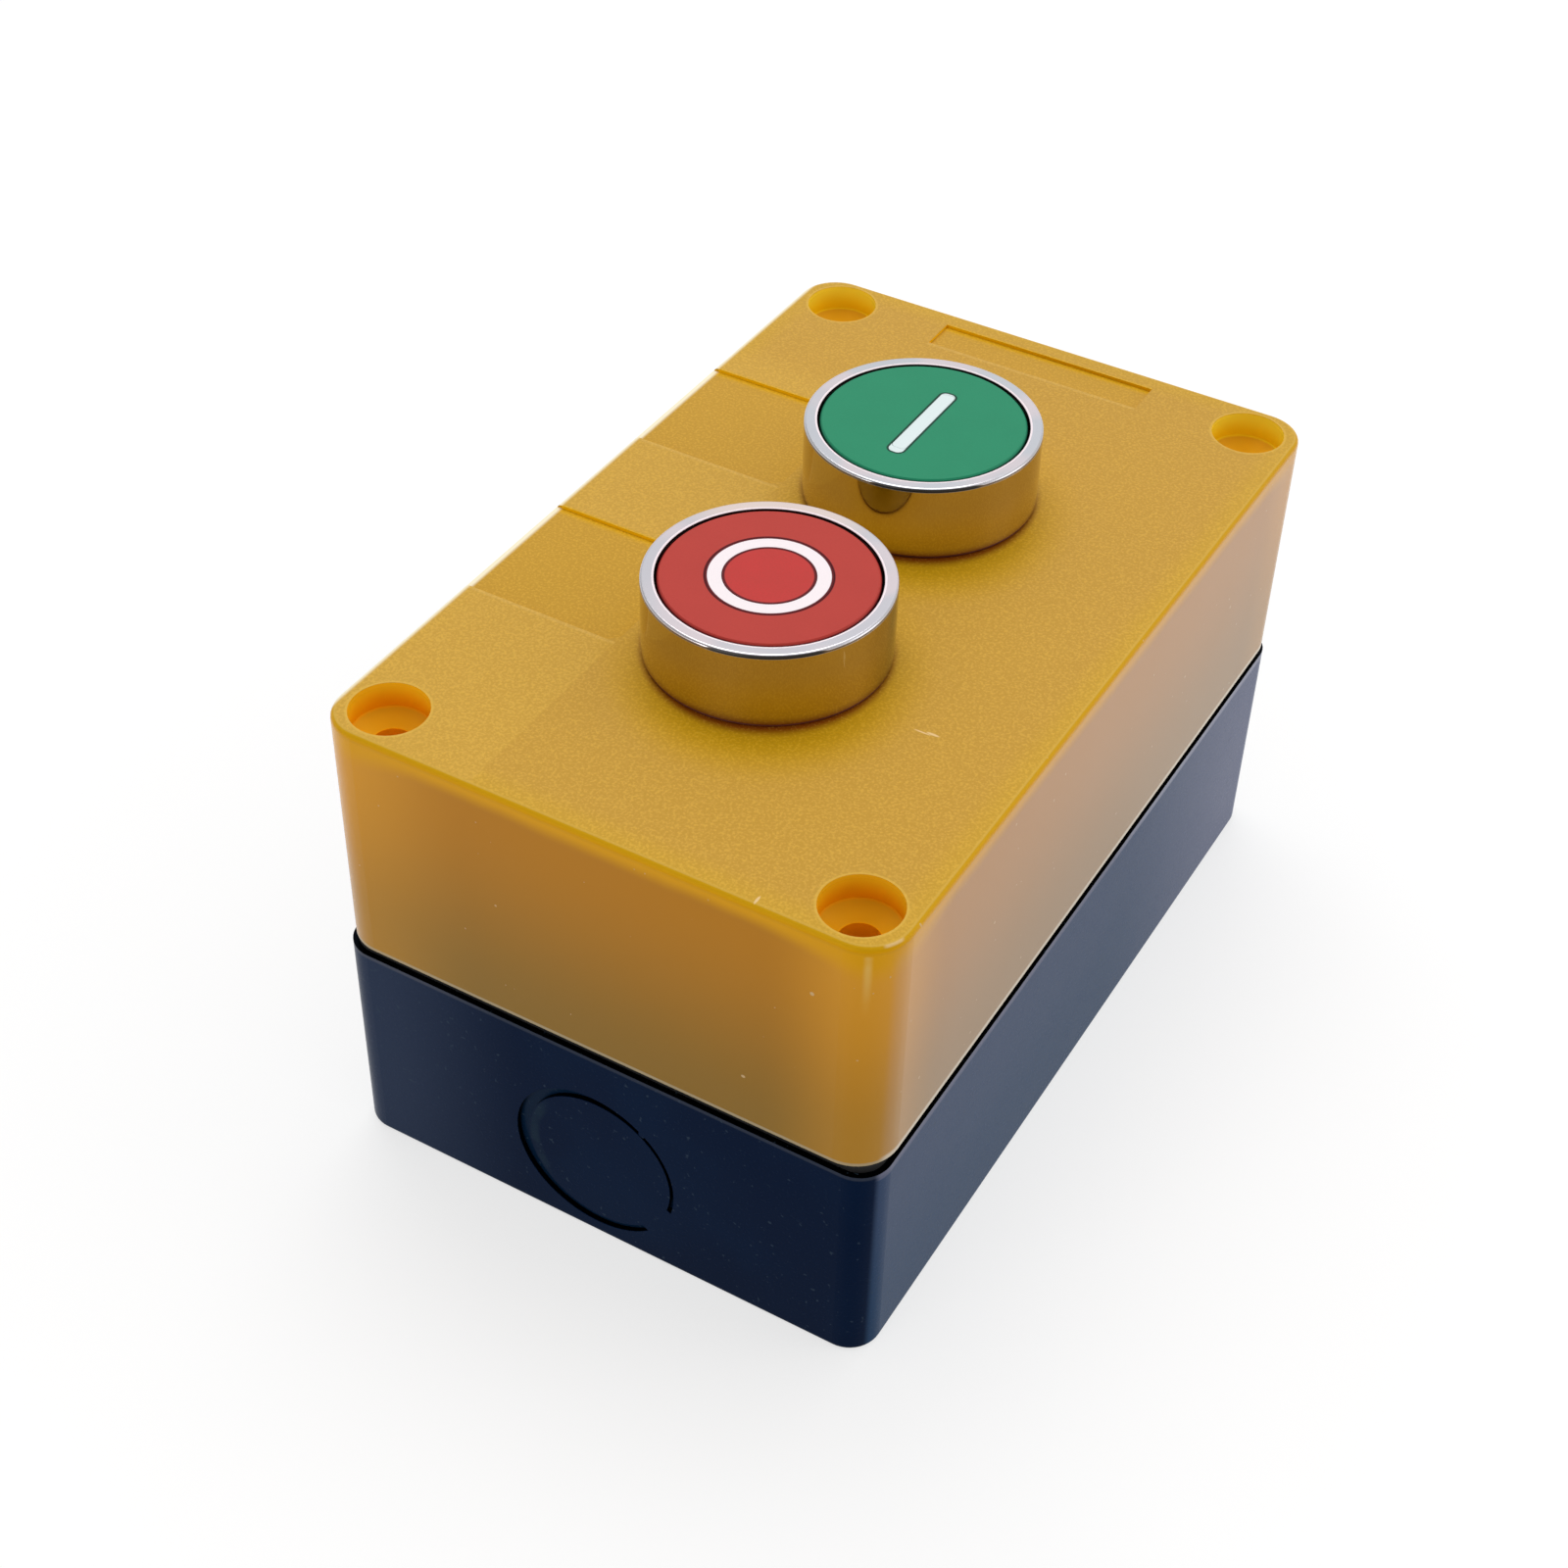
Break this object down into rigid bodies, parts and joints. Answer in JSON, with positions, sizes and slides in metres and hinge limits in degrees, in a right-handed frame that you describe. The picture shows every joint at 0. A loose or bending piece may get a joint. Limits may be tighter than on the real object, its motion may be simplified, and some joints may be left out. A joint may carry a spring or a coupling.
{
  "type": "pushbutton switch",
  "caption": "Surface-mounted control station: yellow cover on a dark base, with a red stop and a green start pushbutton in chromed bezels.",
  "frame": {"origin": "middle of the enclosure's flat back face", "axes": "+Z out of the front through the buttons, +Y along the length towards the start button, +X across the width"},
  "size_m": [0.068, 0.107, 0.0709],
  "materials": {
    "cover_plastic": "moulded yellow, fine-grained top, satin sides",
    "base_plastic": "moulded dark blue-grey, satin",
    "rubber": "matt black",
    "chrome": "bright plated",
    "red_cap": "satin",
    "green_cap": "satin",
    "white_inlay": "satin",
    "white_plastic": "natural",
    "carrier_plastic": "matt",
    "red_housing": "matt",
    "green_housing": "matt",
    "nut_metal": "zinc plated",
    "steel": "zinc plated",
    "spring_steel": "bright wire",
    "brass": "stamped",
    "copper": "stamped"
  },
  "bodies": {
    "enclosure": {"base": "base_plastic", "cover": "cover_plastic", "cover_gasket": "rubber", "stop_bezel": "chrome", "stop_panel_seal": "rubber", "stop_wiper_ring": "rubber", "stop_ring_nut": "nut_metal", "stop_return_spring": "spring_steel", "stop_carrier": "carrier_plastic", "stop_carrier_screw": "steel", "stop_contact_housing": "red_housing", "stop_contact_lid": "carrier_plastic", "stop_block_spring": "spring_steel", "stop_terminal_left": "brass", "stop_terminal_right": "brass", "stop_clamp_washers": "steel", "stop_terminal_screws": "steel", "start_bezel": "chrome", "start_panel_seal": "rubber", "start_wiper_ring": "rubber", "start_ring_nut": "nut_metal", "start_return_spring": "spring_steel", "start_carrier": "carrier_plastic", "start_carrier_screw": "steel", "start_contact_housing": "green_housing", "start_contact_lid": "carrier_plastic", "start_block_spring": "spring_steel", "start_terminal_left": "brass", "start_terminal_right": "brass", "start_clamp_washers": "steel", "start_terminal_screws": "steel"},
    "stop_button": {"stop_cap": "red_cap", "stop_symbol": "white_inlay", "stop_plunger": "white_plastic", "stop_retaining_clip": "steel", "stop_contact_plunger": "white_plastic", "stop_contact_bridge": "copper", "stop_pressure_spring": "spring_steel"},
    "start_button": {"start_cap": "green_cap", "start_symbol": "white_inlay", "start_plunger": "white_plastic", "start_retaining_clip": "steel", "start_contact_plunger": "white_plastic", "start_contact_bridge": "copper", "start_pressure_spring": "spring_steel"}
  },
  "joints": [
    {"name": "stop_press", "type": "slide", "parent": "enclosure", "child": "stop_button", "axis": [0, 0, -1], "range_m": [0, 0.004], "stiffness_N_per_m": 900, "springref_m": -0.004, "deforming": ["stop_return_spring", "stop_block_spring"]},
    {"name": "start_press", "type": "slide", "parent": "enclosure", "child": "start_button", "axis": [0, 0, -1], "range_m": [0, 0.004], "stiffness_N_per_m": 900, "springref_m": -0.004, "deforming": ["start_return_spring", "start_block_spring"]}
  ]
}
